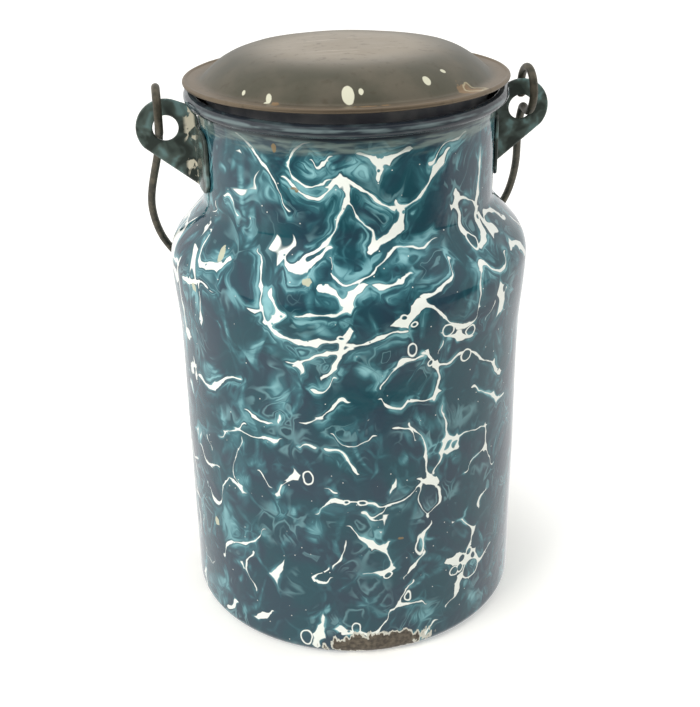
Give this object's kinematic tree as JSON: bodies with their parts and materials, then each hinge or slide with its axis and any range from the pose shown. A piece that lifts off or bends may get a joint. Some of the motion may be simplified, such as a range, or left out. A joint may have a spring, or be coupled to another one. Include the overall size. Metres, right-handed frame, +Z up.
{
  "type": "lidded milk pail",
  "caption": "Round enamelled milk pail with a straight body, drawn-in neck, rolled rim, side ears with a swinging wire bail, and a loose domed tin lid with a plug collar.",
  "frame": {"origin": "middle of the flat bottom, on the pail's axis", "axes": "+Z up along the pail's axis, X through both ears along the bail's swing axis, -Y to the front; the bail hangs at +Y"},
  "size_m": [0.1488, 0.133, 0.2161],
  "materials": {
    "swirled_enamel": "glossy glass enamel on steel, slate teal with cream-white veins and a near-black rim",
    "ear_enamel": "satin dark green-grey enamel, worn at the edges",
    "bail_wire": "dark oxidised steel wire",
    "aged_tin": "dull aged tinplate"
  },
  "bodies": {
    "pail": {"pail_body": "swirled_enamel", "ear_left": "ear_enamel", "ear_right": "ear_enamel"},
    "bail": {"bail": "bail_wire"},
    "lid": {"lid_cover": "aged_tin", "lid_collar": "aged_tin"}
  },
  "joints": [
    {"name": "bail_swing", "type": "hinge", "parent": "pail", "child": "bail", "pos_m": [0, 0, 0.19594], "axis": [1, 0, 0], "range_deg": [0, 294.78]},
    {"name": "lid_lift", "type": "slide", "parent": "pail", "child": "lid", "axis": [0, 0, 1], "range_m": [0, 0.06]}
  ]
}
